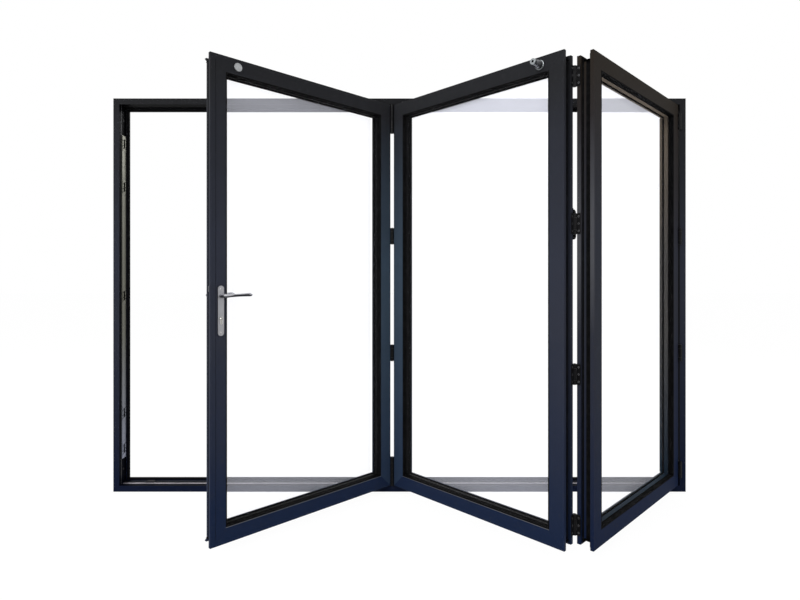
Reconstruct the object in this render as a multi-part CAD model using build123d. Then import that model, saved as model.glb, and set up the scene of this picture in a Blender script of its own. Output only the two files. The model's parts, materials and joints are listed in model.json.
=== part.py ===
from build123d import *
import math
import os

# Three-leaf folding glazed door in its outer frame, shown part open.
# Millimetres. X runs along the frame, seen from outside with the lead leaf on the left.
# Y points indoors, with Y = 0 at the middle of the frame's depth. Z is up from the sill's underside.

# Outer frame
frame_width = 3050
frame_height = 2096
frame_depth = 85
frame_face = 32
upstand_rise = 16
upstand_thickness = 12
seal_width = 8
seal_inset = 1
seal_thickness = 3
arris = 0.8

# Leaves
leaf_depth = 72
leaf_face = 72
side_gap = 5
leaf_gap = 6
end_gap = 4
flange_thickness = 15
stile_groove = 18
rail_groove = 34
wall_thickness = 16
rail_wall_inset = 8
lock_wall_inset = 16
glazing_lip = 20
rebate_width = 18

# Glazing
gasket_thickness = 4
gasket_width = 9
pane_thickness = 4
pane_space = 20
pane_edge_clearance = 4
spacer_width = 9
spacer_inset = 3
bead_slope = 6
bead_joint = 0.3

# How far the leaves are folded, in degrees from closed
fold_angle = 45.14
lead_angle = 43.37

# Hinges
knuckle_radius = 8.5
axis_stand_off = 9
pin_radius = 4
pin_clearance = 0.1
round_flats = 16
knuckle_joint = 0.6
knuckle_sweep = 0.6
flap_thickness = 2.2
end_knuckle = 18
hinge_height = 86
low_hinge = 122
high_hinge_drop = 115
top_hinge_lower = 11
carriage_hinge_height = 152
carriage_knuckle = 30
carriage_hinge_inset = 1.5

# Tracks and carriages
track_front = 32
track_width = 24
track_wall = 2
track_lip = 6
head_track_depth = 22
sill_track_depth = 14
track_proud = 1.5
carriage_bolt_radius = 5
carriage_arm_width = 22
carriage_arm_height = 26
carriage_neck_width = 8
shoe_length = 60
shoe_clearance = 0.5

# Locking side
handle_inset = 43
handle_height = 1065
cylinder_drop = 94
backplate_width = 26
backplate_length = 207
backplate_drop = 61.5
backplate_thickness = 8
lever_neck_radius = 8
lever_neck_start = 0.5
lever_stand_off = 46
lever_reach = 118
lever_radius = 7.5
lever_stations = [(-8, 4.5), (-3, 7.5), (5, 7.8), (25, 6.6), (58, 5.8), (92, 6.8), (112, 7.5), (118, 5)]
lever_flats = 16
lever_rise = 4
lever_clearance = 0.1
spindle_side = 8
spindle_end = 1
spindle_pocket = 10
spindle_hole_radius = 9
cylinder_radius = 8.5
cylinder_leg = 10
cylinder_drop_leg = 24
cylinder_proud = 3
cylinder_clearance = 0.3
lock_plate_width = 20
lock_plate_thickness = 3
lock_plate_groove_gap = 6
lock_plate_low_end = 169
lock_plate_high_end = 190
keep_width = 38
keep_front = 22
keep_thickness = 5
low_keeps = [50, 243]
lock_keep_drop = 21
high_keeps = [276, 44]
keep_slot_length = 48
keep_slot_width = 14
run_up_from_side = 155
run_up_length = 50
run_up_width = 22
run_up_height = 9
run_up_ramp = 7
shootbolt_length = 229
shootbolt_rise = 37
shootbolt_width = 20
shootbolt_groove_gap = 2

# Magnet catch
magnet_from_edge = 120
magnet_drop = 35
disc_radius = 17.5
disc_thickness = 6
boss_from_edge = 110
boss_radius = 17
boss_nose_radius = 11
boss_length = 42
boss_base_radius = 17
boss_base_thickness = 4
boss_neck_radius = 9
boss_neck_length = 18

# Pull handle on an inner hinge
pull_length = 131
pull_plate_width = 22
pull_plate_thickness = 3
pull_reach = 42
pull_plate_joint = 0.6
pull_bar_width = 10
pull_bar_thickness = 8
pull_bar_inset = 3
pull_bend = 14

# Frame fixings
fixing_radius = 4.5
left_fixing_end = 108
right_fixing_end = 248

# Lock groove line on the lead stile
groove_from_edge = 24
groove_width = 1.6
groove_depth = 1.2

# Worked out from the sizes above
half_width = frame_width / 2
front = -frame_depth / 2
land_depth = frame_depth - upstand_thickness
leaf_bottom = frame_face + end_gap
leaf_height = frame_height - 2 * leaf_bottom
leaf_top = frame_height - leaf_bottom
leaf_width = (frame_width - 2 * (frame_face + side_gap) - 2 * leaf_gap) / 3
wall_front = leaf_depth - wall_thickness
rebate_floor = leaf_face - rebate_width
glass_front = glazing_lip + gasket_thickness
glass_depth = 2 * pane_thickness + pane_space
glass_back = glass_front + glass_depth
bead_front = glass_back + gasket_thickness
glass_edge = rebate_floor + pane_edge_clearance
high_hinge = frame_height - high_hinge_drop
hinge_pitch = (high_hinge - low_hinge) / 3
hinge_levels = [low_hinge + hinge_pitch * number for number in range(4)]
hinge_levels[3] -= top_hinge_lower
lock_plate_top = frame_height - lock_plate_high_end
backplate_centre = handle_height - backplate_drop
through = 400

os.makedirs("parts", exist_ok=True)


def save(name, shape):
    export_step(shape, "parts/" + name + ".step")


def prism(points, height):
    # An outline on the XY plane, raised by height.
    return extrude(make_face(Polyline(points, close=True)), height)


def block(x, y, z):
    # A box between two limits on each axis.
    centre = [(low + high) / 2 for low, high in (x, y, z)]
    size = [high - low for low, high in (x, y, z)]
    return Pos(*centre) * Box(*size)


def upright(radius, bottom, top):
    # A round bar along Z. The hinges need so many that each is drawn with flats.
    return Pos(0, 0, bottom) * extrude(RegularPolygon(radius, int(round_flats)), top - bottom)


def rotated(point, degrees):
    a = math.radians(degrees)
    x = point[0] * math.cos(a) - point[1] * math.sin(a)
    y = point[0] * math.sin(a) + point[1] * math.cos(a)
    return (x, y)


# A section is an outline of (distance in from the edge, distance back from the face).
# A mitred member follows one edge of a rectangle and is cut at 45 degrees at both ends.


def mitred(section, length, width):
    bar = prism(section, length)
    outline = [(0, 0), (width, width), (width, length - width), (0, length)]
    envelope = extrude(Plane.XZ * make_face(Polyline(outline, close=True)), through, both=True)
    return bar & envelope


def on_right(bar, width):
    return Pos(width, 0, 0) * mirror(bar, Plane.YZ)


def on_top(bar, height):
    return Pos(0, 0, height) * Rot(0, 90, 0) * bar


def on_bottom(bar):
    return mirror(Rot(0, 90, 0) * bar, Plane.XY)


def ring(inset, width, y, w, h):
    # A flat rectangular ring, its outside inset from a w by h rectangle.
    outside = block((inset, w - inset), y, (inset, h - inset))
    inner = inset + width
    inside = block((inner, w - inner), (y[0] - 1, y[1] + 1), (inner, h - inner))
    return outside - inside


# Outer frame

frame_section = [
    (0, 0),
    (frame_face - arris, 0),
    (frame_face, arris),
    (frame_face, land_depth),
    (frame_face + upstand_rise, land_depth),
    (frame_face + upstand_rise, frame_depth),
    (0, frame_depth),
]
mitre_width = frame_face + upstand_rise
corner = Pos(-half_width, front, 0)


def track_outline(depth):
    # The channel's section as (along the frame's depth, up into the member).
    back = track_front + track_width
    return [
        (track_front, -track_proud),
        (track_front + track_lip, -track_proud),
        (track_front + track_lip, track_wall - track_proud),
        (track_front + track_wall, track_wall - track_proud),
        (track_front + track_wall, depth - track_wall),
        (back - track_wall, depth - track_wall),
        (back - track_wall, track_wall - track_proud),
        (back - track_lip, track_wall - track_proud),
        (back - track_lip, -track_proud),
        (back, -track_proud),
        (back, depth),
        (track_front, depth),
    ]


def track_bar(depth):
    # Along X between the jambs, with its mouth facing up at Z = 0 and the channel below.
    length = frame_width - 2 * frame_face
    outline = [(y, -z) for y, z in track_outline(depth)]
    bar = extrude(Plane.YZ * make_face(Polyline(outline, close=True)), length)
    return Pos(-half_width + frame_face, front, 0) * bar


def track_groove(depth):
    reach = half_width - frame_face
    y = (front + track_front, front + track_front + track_width)
    return block((-reach, reach), y, (-depth, upstand_rise + 1))


def fixing_holes(from_end, side):
    holes = Part()
    for level in (from_end, frame_height - from_end):
        hole = Rot(0, 90, 0) * Cylinder(fixing_radius, 3 * frame_face)
        holes += Pos(side * (half_width - frame_face / 2), 0, level) * hole
    return holes


def make_frame():
    tall = mitred(frame_section, frame_height, mitre_width)
    wide = mitred(frame_section, frame_width, mitre_width)
    left = corner * tall - fixing_holes(left_fixing_end, -1)
    right = corner * on_right(tall, frame_width) - fixing_holes(right_fixing_end, 1)
    head_line = Pos(0, 0, frame_height - frame_face)
    sill_line = Pos(0, 0, frame_face)
    head_groove = head_line * mirror(track_groove(head_track_depth), Plane.XY)
    head = corner * on_top(wide, frame_height) - head_groove
    sill = corner * on_bottom(wide) - sill_line * track_groove(sill_track_depth)
    save("left_jamb", left)
    save("right_jamb", right)
    save("head", head)
    save("sill", sill)
    save("head_track", head_line * mirror(track_bar(head_track_depth), Plane.XY))
    save("sill_track", sill_line * track_bar(sill_track_depth))
    y = (land_depth - seal_thickness, land_depth)
    seal = ring(mitre_width - seal_width - seal_inset, seal_width, y, frame_width, frame_height)
    save("frame_gasket", corner * seal)


def make_keep_strip():
    face = -half_width + frame_face
    y = (front + keep_front, front + keep_front + keep_width)
    strip = block((face, face + keep_thickness), y, (lock_plate_low_end, lock_plate_top))
    middle = (y[0] + y[1]) / 2
    levels = [lock_plate_low_end + rise for rise in low_keeps]
    levels += [handle_height - lock_keep_drop]
    levels += [lock_plate_top - drop for drop in high_keeps]
    for level in levels:
        slot = block(
            (face - 1, face + keep_thickness + 1),
            (middle - keep_slot_width / 2, middle + keep_slot_width / 2),
            (level - keep_slot_length / 2, level + keep_slot_length / 2),
        )
        strip -= slot
    save("lock_keep_strip", strip)


def make_run_up_block():
    start = -half_width + run_up_from_side
    outline = [
        (start, 0),
        (start + run_up_length, 0),
        (start + run_up_length - run_up_ramp, run_up_height),
        (start + run_up_ramp, run_up_height),
    ]
    shape = extrude(Plane.XZ * make_face(Polyline(outline, close=True)), -run_up_width)
    save("run_up_block", Pos(0, front + track_front, frame_face + track_proud) * shape)


# Leaves, each built closed with its lower left outer corner at the origin



def leaf_section(wall_inset, groove):
    # The outer flange, the groove behind it and the inner wall, whose edge lies wall_inset in.
    return [
        (arris, 0),
        (leaf_face - arris, 0),
        (leaf_face, arris),
        (leaf_face, glazing_lip),
        (rebate_floor, glazing_lip),
        (rebate_floor, leaf_depth),
        (wall_inset + arris, leaf_depth),
        (wall_inset, leaf_depth - arris),
        (wall_inset, wall_front),
        (groove, wall_front),
        (groove, flange_thickness),
        (0, flange_thickness),
        (0, arris),
    ]



bead_section = [
    (rebate_floor, bead_front),
    (leaf_face, bead_front),
    (leaf_face, leaf_depth - bead_slope),
    (leaf_face - bead_slope, leaf_depth),
    (rebate_floor, leaf_depth),
]


def meeting_bar():
    # Brings the inner wall out to the next leaf's, between the rails.
    join = rail_wall_inset + arris
    return block((0, join), (wall_front, leaf_depth), (join, leaf_height - join))


def groove_ends():
    # The deeper grooves of the rails run out through the ends of the stiles.
    x = (-1, rebate_floor)
    y = (flange_thickness, wall_front)
    return block(x, y, (-1, rail_groove)) + block(x, y, (leaf_height - rail_groove, leaf_height + 1))


def beads():
    opening_w = leaf_width - 2 * rebate_floor
    opening_h = leaf_height - 2 * leaf_face
    flat = Pos(rebate_floor, 0, 0) * Rot(0, 90, 0) * prism(bead_section, opening_w)
    top = Pos(0, 0, leaf_height) * flat
    bottom = mirror(flat, Plane.XY)
    side = Pos(0, 0, leaf_face + bead_joint) * prism(bead_section, opening_h - 2 * bead_joint)
    return [top, bottom, side, on_right(side, leaf_width)]


def panes():
    x = (glass_edge, leaf_width - glass_edge)
    z = (glass_edge, leaf_height - glass_edge)
    outer = block(x, (glass_front, glass_front + pane_thickness), z)
    inner = block(x, (glass_back - pane_thickness, glass_back), z)
    return [outer, inner]


def spacer():
    y = (glass_front + pane_thickness, glass_back - pane_thickness)
    return ring(glass_edge + spacer_inset, spacer_width, y, leaf_width, leaf_height)


def glazing_gaskets():
    inset = leaf_face - gasket_width
    outer = ring(inset, gasket_width, (glazing_lip, glass_front), leaf_width, leaf_height)
    inner = ring(inset, gasket_width, (glass_back, bead_front), leaf_width, leaf_height)
    return [outer, inner]


# Fold pivots. The jamb pivot and the carriage pivot stand proud of the frame's outer face.

pivot_y = front - axis_stand_off
jamb_pivot = (half_width - frame_face - side_gap / 2, pivot_y)
jamb_pivot_local = (leaf_width + side_gap / 2, -axis_stand_off)
right_outer_local = (leaf_width + leaf_gap / 2, -axis_stand_off)
right_inner_local = (leaf_width + leaf_gap / 2, leaf_depth + axis_stand_off)
left_outer_local = (-leaf_gap / 2, -axis_stand_off)
left_inner_local = (-leaf_gap / 2, leaf_depth + axis_stand_off)


def offset(a, b):
    return (b[0] - a[0], b[1] - a[1])


def moved(a, b):
    return (a[0] + b[0], a[1] + b[1])


def leaf_place(pivot, local, degrees):
    return Pos(pivot[0], pivot[1], leaf_bottom) * Rot(0, 0, degrees) * Pos(-local[0], -local[1], 0)


inner_pivot = moved(jamb_pivot, rotated(offset(jamb_pivot_local, left_inner_local), fold_angle))
# The carriage pivot has to lie on the track line, so leaf 2 turns by the angle that brings it there.
leaf_2_span = offset(right_inner_local, left_outer_local)
leaf_2_length = math.hypot(leaf_2_span[0], leaf_2_span[1])
leaf_2_slope = math.degrees(math.atan2(leaf_2_span[1], -leaf_2_span[0]))
leaf_2_rise = math.degrees(math.asin((pivot_y - inner_pivot[1]) / leaf_2_length))
leaf_2_angle = -(leaf_2_rise - leaf_2_slope)
carriage_pivot = moved(inner_pivot, rotated(leaf_2_span, leaf_2_angle))

places = {
    1: leaf_place(carriage_pivot, right_outer_local, lead_angle),
    2: leaf_place(carriage_pivot, left_outer_local, leaf_2_angle),
    3: leaf_place(jamb_pivot, jamb_pivot_local, fold_angle),
}


def lock_cuts():
    # Holes through the lead stile for the spindle and the cylinder.
    level = handle_height - leaf_bottom
    spindle = Pos(handle_inset, 0, level) * Rot(90, 0, 0) * Cylinder(spindle_hole_radius, through)
    groove = block(
        (groove_from_edge - groove_width / 2, groove_from_edge + groove_width / 2),
        (-1, groove_depth),
        (0, leaf_height),
    )
    return spindle + cylinder_body(cylinder_clearance, -through / 2, through / 2) + groove


def cylinder_body(grow, front_y, back_y):
    # The cylinder's keyhole outline: a round barrel with a rounded leg below it.
    level = handle_height - cylinder_drop - leaf_bottom
    foot = level - cylinder_drop_leg + cylinder_leg / 2
    middle = (front_y + back_y) / 2
    length = back_y - front_y
    barrel = Pos(handle_inset, middle, level) * Rot(90, 0, 0) * Cylinder(cylinder_radius + grow, length)
    half = cylinder_leg / 2 + grow
    leg = block((handle_inset - half, handle_inset + half), (front_y, back_y), (foot, level))
    end = Pos(handle_inset, middle, foot) * Rot(90, 0, 0) * Cylinder(half, length)
    return barrel + leg + end


def make_leaves():
    left_plain = mitred(leaf_section(lock_wall_inset, stile_groove), leaf_height, leaf_face)
    left_plain -= groove_ends()
    left_meeting = mitred(leaf_section(rail_wall_inset, stile_groove), leaf_height, leaf_face)
    left_meeting = left_meeting - groove_ends() + meeting_bar()
    rail = mitred(leaf_section(rail_wall_inset, rail_groove), leaf_width, leaf_face)
    right_plain = on_right(left_plain, leaf_width)
    right_meeting = on_right(left_meeting, leaf_width)
    stiles = {
        1: (left_plain - lock_cuts(), right_meeting),
        2: (left_meeting, right_meeting),
        3: (left_meeting, right_plain),
    }
    spacers = []
    gaskets = []
    for number, place in places.items():
        leaf = "leaf_" + str(number)
        save(leaf + "_left_stile", place * stiles[number][0])
        save(leaf + "_right_stile", place * stiles[number][1])
        save(leaf + "_top_rail", place * on_top(rail, leaf_height))
        save(leaf + "_bottom_rail", place * on_bottom(rail))
        save(leaf + "_glass_panes", Compound([place * pane for pane in panes()]))
        save(leaf + "_glazing_beads", Compound([place * bead for bead in beads()]))
        spacers.append(place * spacer())
        gaskets += [place * seal for seal in glazing_gaskets()]
    save("glass_spacer_bars", Compound(spacers))
    save("glazing_gaskets", Compound(gaskets))


# Hinges. Each hinge is built about its own axis at the origin with Z from its lower end.
# The flap lies along the edge of what carries it, on the side given by side (-1 left, 1 right),
# and reaches back from the axis by depth, towards toward (1 indoors, -1 outdoors).


def barrel(bottom, top):
    ring_part = upright(knuckle_radius, bottom, top)
    return ring_part - upright(pin_radius + pin_clearance, bottom - 1, top + 1)


def segments(heights):
    # Lower and upper level of each knuckle, one above the other with a small joint between.
    levels = []
    bottom = 0
    for height in heights:
        levels.append((bottom, bottom + height))
        bottom += height + knuckle_joint
    return levels


def flap(heights, own, side, toward, near, far, plate):
    # plate is the flap's thickness, near and far the distances along the edge from the axis.
    levels = segments(heights)
    total = levels[-1][1]
    face = side * near
    x = (min(face, face - side * plate), max(face, face - side * plate))
    y = (min(0, toward * far), max(0, toward * far))
    body = block(x, y, (0, total))
    body -= upright(pin_radius + pin_clearance, -1, total + 1)
    for number, (bottom, top) in enumerate(levels):
        if number in own:
            body += barrel(bottom, top)
        else:
            body -= upright(knuckle_radius + knuckle_sweep, bottom - knuckle_joint, top + knuckle_joint)
    return body - upright(pin_radius + pin_clearance, -1, total + 1)


def pin(heights):
    return upright(pin_radius, 0, segments(heights)[-1][1])


plain_heights = [end_knuckle, hinge_height - 2 * end_knuckle - 2 * knuckle_joint, end_knuckle]
middle_knuckle = carriage_hinge_height - 4 * carriage_knuckle - 4 * knuckle_joint
tall_heights = [carriage_knuckle, carriage_knuckle, middle_knuckle, carriage_knuckle, carriage_knuckle]
outer_reach = axis_stand_off + flange_thickness
inner_reach = axis_stand_off + wall_thickness


def at_axis(place, local, level):
    return place * Pos(local[0], local[1], level - leaf_bottom)


def make_jamb_hinges():
    fixed = []
    moving = []
    pins = []
    for centre in hinge_levels:
        level = centre - hinge_height / 2
        jamb = Pos(jamb_pivot[0], jamb_pivot[1], level)
        fixed.append(jamb * flap(plain_heights, [1], 1, 1, side_gap / 2, outer_reach, flap_thickness))
        leaf = at_axis(places[3], jamb_pivot_local, level)
        moving.append(leaf * flap(plain_heights, [0, 2], -1, 1, side_gap / 2, outer_reach, flap_thickness))
        pins.append(jamb * pin(plain_heights))
    save("jamb_hinge_frame_flaps", Compound(fixed))
    save("jamb_hinge_leaf_flaps", Compound(moving))
    return pins


def make_inner_hinges():
    near = leaf_gap / 2
    left_flaps = []
    right_flaps = []
    pins = []
    for centre in hinge_levels:
        level = centre - hinge_height / 2
        left = at_axis(places[2], right_inner_local, level)
        left_flaps.append(left * flap(plain_heights, [1], -1, -1, near, inner_reach, flap_thickness))
        right = at_axis(places[3], left_inner_local, level)
        right_flaps.append(right * flap(plain_heights, [0, 2], 1, -1, near, inner_reach, flap_thickness))
        pins.append(left * pin(plain_heights))
    save("inner_hinge_leaf_2_flaps", Compound(left_flaps))
    save("inner_hinge_leaf_3_flaps", Compound(right_flaps))
    return pins


def carriage_levels():
    return [leaf_bottom + carriage_hinge_inset, leaf_top - carriage_hinge_height - carriage_hinge_inset]


def make_centre_hinges():
    left_flaps = []
    right_flaps = []
    pins = []
    hinges = [(centre - hinge_height / 2, plain_heights, [0, 2], [1]) for centre in hinge_levels[1:3]]
    hinges += [(level, tall_heights, [0, 4], [1, 3]) for level in carriage_levels()]
    near = leaf_gap / 2
    for level, heights, left_own, right_own in hinges:
        left = at_axis(places[1], right_outer_local, level)
        left_flaps.append(left * flap(heights, left_own, -1, 1, near, outer_reach, flap_thickness))
        right = at_axis(places[2], left_outer_local, level)
        right_flaps.append(right * flap(heights, right_own, 1, 1, near, outer_reach, flap_thickness))
        pins.append(left * pin(heights))
    save("centre_hinge_leaf_1_flaps", Compound(left_flaps))
    save("centre_hinge_leaf_2_flaps", Compound(right_flaps))
    return pins


def carriage(level, reach_up):
    # The middle knuckle with its arm back to a bolt under or over the track, and a shoe in the track.
    bottom, top = segments(tall_heights)[2]
    knuckle = barrel(bottom, top)
    bolt_y = -pivot_y + front + track_front + track_width / 2
    half = carriage_arm_width / 2
    half_neck = carriage_neck_width / 2
    middle = (bottom + top) / 2
    arm_half = min(carriage_arm_height, top - bottom) / 2
    outline = [
        (-half_neck, 0),
        (half_neck, 0),
        (half_neck, knuckle_radius),
        (half, 2 * knuckle_radius),
        (half, bolt_y),
        (-half, bolt_y),
        (-half, 2 * knuckle_radius),
        (-half_neck, knuckle_radius),
    ]
    arm = Pos(0, 0, middle - arm_half) * prism(outline, 2 * arm_half)
    end = Pos(0, bolt_y, 0) * upright(half, middle - arm_half, middle + arm_half)
    body = knuckle + arm + end
    body -= upright(pin_radius + pin_clearance, bottom - 1, top + 1)
    if reach_up:
        shoe_base = frame_height - frame_face + track_wall - track_proud + shoe_clearance - level
        shoe_top = frame_height - frame_face + head_track_depth - track_wall - shoe_clearance - level
        body += Pos(0, bolt_y, 0) * upright(carriage_bolt_radius, middle, shoe_top)
    else:
        shoe_base = frame_face - sill_track_depth + track_wall - level
        shoe_top = frame_face + track_proud - track_wall - shoe_clearance - level
        body += Pos(0, bolt_y, 0) * upright(carriage_bolt_radius, shoe_base, middle)
    half_shoe = track_width / 2 - track_wall - shoe_clearance
    y = (bolt_y - half_shoe, bolt_y + half_shoe)
    body += block((-shoe_length / 2, shoe_length / 2), y, (shoe_base, shoe_top))
    return Pos(carriage_pivot[0], carriage_pivot[1], level) * body


def make_carriages():
    low, high = carriage_levels()
    save("bottom_carriage", carriage(low, False))
    save("top_carriage", carriage(high, True))


def make_pull_handle():
    # A plate on leaf 2's inner face beside the hinge, with a bent bar standing off it.
    level = hinge_levels[2] - pull_length / 2
    half = leaf_gap / 2
    face = -axis_stand_off
    x = (-half - pull_plate_width, -pull_plate_joint)
    plate = block(x, (face, face + pull_plate_thickness), (0, pull_length))
    plate -= upright(knuckle_radius + knuckle_sweep, -1, pull_length + 1)
    hinge_end = (pull_length - hinge_height) / 2 - knuckle_joint
    flap_edge = -half - pull_plate_joint
    plate -= block((flap_edge, 0), (2 * face, 0), (hinge_end, pull_length - hinge_end))
    x = -half - pull_plate_width / 2 - pull_bar_inset
    low = pull_bar_thickness / 2 + pull_bar_inset
    high = pull_length - low
    out = face + pull_reach
    path = FilletPolyline((x, face, low), (x, out, low), (x, out, high), (x, face, high), radius=pull_bend)
    start = Plane((x, face, low), x_dir=(1, 0, 0), z_dir=(0, 1, 0))
    bar = sweep(start * Rectangle(pull_bar_width, pull_bar_thickness), path)
    save("pull_handle", at_axis(places[2], right_inner_local, level) * (plate + bar))


# Locking side of the lead leaf


def backplate(front_y):
    straight = backplate_length - backplate_width
    slot = SlotCenterToCenter(straight, backplate_width)
    plate = extrude(Plane.XZ * Rot(0, 0, 90) * slot, -backplate_thickness)
    plate = Pos(handle_inset, front_y, backplate_centre - leaf_bottom) * plate
    hole = Rot(90, 0, 0) * Cylinder(lever_neck_radius + lever_clearance, through)
    plate -= Pos(handle_inset, 0, handle_height - leaf_bottom) * hole
    return plate - cylinder_body(cylinder_clearance, -through / 2, through / 2)


def lever():
    # The outer lever: a neck that starts inside the backplate, on the axis it turns about, and a
    # round bar with a slimmer waist and a fuller tip that rises a little.
    out = backplate_thickness + lever_stand_off - lever_radius
    rings = []
    for along, radius in lever_stations:
        rise = lever_rise * max(along, 0) / lever_reach
        section = Plane((along, -out, rise), x_dir=(0, 1, 0), z_dir=(1, 0, 0))
        rings.append(section * RegularPolygon(radius, int(lever_flats)))
    bar = loft(rings, ruled=True)
    length = out - lever_neck_start
    neck = Rot(90, 0, 0) * Cylinder(lever_neck_radius, length)
    return bar + Pos(0, -lever_neck_start - length / 2, 0) * neck


def make_lock():
    place = places[1]
    save("outer_backplate", place * backplate(-backplate_thickness))
    save("inner_backplate", place * backplate(leaf_depth))
    pivot = Pos(handle_inset, 0, handle_height - leaf_bottom)
    side = (-spindle_side / 2, spindle_side / 2)
    spindle = block(side, (-spindle_end, leaf_depth + spindle_end), side)
    save("outer_lever", place * pivot * (lever() + spindle))
    side = (-spindle_pocket / 2, spindle_pocket / 2)
    inner = mirror(lever(), Plane.XZ) - block(side, (0, spindle_end), side)
    save("inner_lever", place * pivot * Pos(0, leaf_depth, 0) * inner)
    ends = (-backplate_thickness - cylinder_proud, leaf_depth + backplate_thickness + cylinder_proud)
    save("lock_cylinder", place * cylinder_body(0, ends[0], ends[1]))
    start = flange_thickness + lock_plate_groove_gap
    y = (start, start + lock_plate_width)
    z = (lock_plate_low_end - leaf_bottom, lock_plate_top - leaf_bottom)
    lock_plate = block((stile_groove - lock_plate_thickness, stile_groove), y, z)
    save("lock_faceplate", place * lock_plate)
    start = flange_thickness + shootbolt_groove_gap
    y = (start, start + shootbolt_width)
    middle = handle_height + shootbolt_rise - leaf_bottom
    z = (middle - shootbolt_length / 2, middle + shootbolt_length / 2)
    edge = leaf_width - stile_groove
    shootbolt = block((edge, edge + lock_plate_thickness), y, z)
    save("shootbolt_faceplate", places[2] * shootbolt)


def make_magnet_catch():
    level = leaf_height - magnet_drop
    disc = Rot(90, 0, 0) * Cylinder(disc_radius, disc_thickness)
    disc_place = places[1] * Pos(magnet_from_edge, -disc_thickness / 2, level)
    save("magnet_disc", disc_place * disc)
    # The boss on leaf 2: a base flange, a neck and a head that narrows to its nose.
    neck_middle = (boss_base_thickness + boss_neck_length) / 2
    head_length = boss_length - boss_neck_length
    across = Rot(90, 0, 0)
    base = across * Cylinder(boss_base_radius, boss_base_thickness)
    neck = across * Cylinder(boss_neck_radius, boss_neck_length - boss_base_thickness)
    head = across * Cone(boss_radius, boss_nose_radius, head_length)
    boss = Pos(0, -boss_base_thickness / 2, 0) * base + Pos(0, -neck_middle, 0) * neck
    boss += Pos(0, -boss_neck_length - head_length / 2, 0) * head
    save("magnet_boss", places[2] * Pos(leaf_width - boss_from_edge, 0, level) * boss)


make_frame()
make_keep_strip()
make_run_up_block()
make_leaves()
hinge_pins = make_jamb_hinges() + make_inner_hinges() + make_centre_hinges()
save("hinge_pins", Compound(hinge_pins))
make_carriages()
make_pull_handle()
make_lock()
make_magnet_catch()
print("leaf width", leaf_width, "height", leaf_height, "leaf 2 angle", round(leaf_2_angle, 3))
print("carriage pivot", carriage_pivot, "inner pivot", inner_pivot)
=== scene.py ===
# %% [markdown]
# # A folding glazed door, three leaves, part open
#
# A folding door is a row of glazed leaves hinged to each other, so that they stack at one side of
# the opening. Here three aluminium leaves hang in a dark outer frame. The first one carries the
# lever and leads the others along a track.
#
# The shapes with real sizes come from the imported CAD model, so nothing here has to be fitted by
# eye. This lesson gives those shapes their finishes and adds the small things that a maker would
# add last: seals, screws, keeps, the key slot and the brushes in the tracks. A flat render of the
# CAD alone would also have the right outline, but the small shadows and glints of these pieces are
# what makes a door look made. All lengths are in metres.

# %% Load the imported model
import bmesh
import bpy
import json
import math
import numpy as np
from mathutils import Matrix, Vector


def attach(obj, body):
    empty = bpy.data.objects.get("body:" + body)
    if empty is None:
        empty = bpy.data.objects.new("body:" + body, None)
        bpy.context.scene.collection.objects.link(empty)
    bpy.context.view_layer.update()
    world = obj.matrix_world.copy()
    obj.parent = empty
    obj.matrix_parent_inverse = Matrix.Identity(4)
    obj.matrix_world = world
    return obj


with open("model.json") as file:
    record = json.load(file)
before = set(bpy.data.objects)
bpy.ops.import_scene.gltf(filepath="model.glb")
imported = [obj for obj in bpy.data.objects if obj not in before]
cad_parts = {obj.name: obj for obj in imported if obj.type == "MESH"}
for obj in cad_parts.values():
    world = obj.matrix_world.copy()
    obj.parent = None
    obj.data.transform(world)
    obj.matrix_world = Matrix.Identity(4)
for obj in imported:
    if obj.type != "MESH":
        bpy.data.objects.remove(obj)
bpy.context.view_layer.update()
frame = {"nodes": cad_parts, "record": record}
nodes = frame["nodes"]

# %% [markdown]
# ## Maths on node sockets
#
# A finish is a sum of small effects: grain plus dirt plus wear. In Blender's node editor each plus
# is a Math node and a few links, which soon hides the idea. It could be drawn by hand, or made by
# long lists of link calls. Here one small class wraps a node's output and overloads the operators,
# so the finish reads like its formula, and each operator adds its Math node.

# %% A socket that can be added and multiplied
class Level:
    """The output of a node. As a number it varies over a surface, and can be used in a formula."""

    def __init__(self, graph, socket):
        self.graph = graph
        self.socket = socket

    def _maths(self, operation, first, second):
        return self.graph.node("ShaderNodeMath", {"operation": operation}, {0: first, 1: second})

    def __add__(self, other):
        return self._maths("ADD", self, other)

    def __radd__(self, other):
        return self._maths("ADD", other, self)

    def __sub__(self, other):
        return self._maths("SUBTRACT", self, other)

    def __rsub__(self, other):
        return self._maths("SUBTRACT", other, self)

    def __mul__(self, other):
        return self._maths("MULTIPLY", self, other)

    def __rmul__(self, other):
        return self._maths("MULTIPLY", other, self)

    def __truediv__(self, other):
        return self._maths("DIVIDE", self, other)

    def __abs__(self):
        return self._maths("ABSOLUTE", self, 0.0)

    def clamped(self):
        held = self._maths("MINIMUM", self, 1.0)
        return held._maths("MAXIMUM", held, 0.0)

    def above(self, edge, soft):
        """0 below edge and 1 above it, over a band that is soft wide."""
        return ((self - (edge - soft / 2)) / soft).clamped()

    def between(self, low, high, soft):
        """1 from low to high and 0 outside."""
        return self.above(low, soft) * (1.0 - self.above(high, soft))


print("operators ready")

# %% [markdown]
# ## One builder for every finish
#
# A finish is one Principled shader with a few things that change over the surface. All nodes are
# made by one method that takes the node's type, its settings and what goes into its sockets. The
# settings come first, because a Math node's operation or a Mix node's data type decides which
# sockets it has. The floor and the sky are node trees too, so that method stands in a class of its
# own. Values that are the same all over stay on the shader's own sockets, which keeps them when the
# model is exported.

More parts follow.
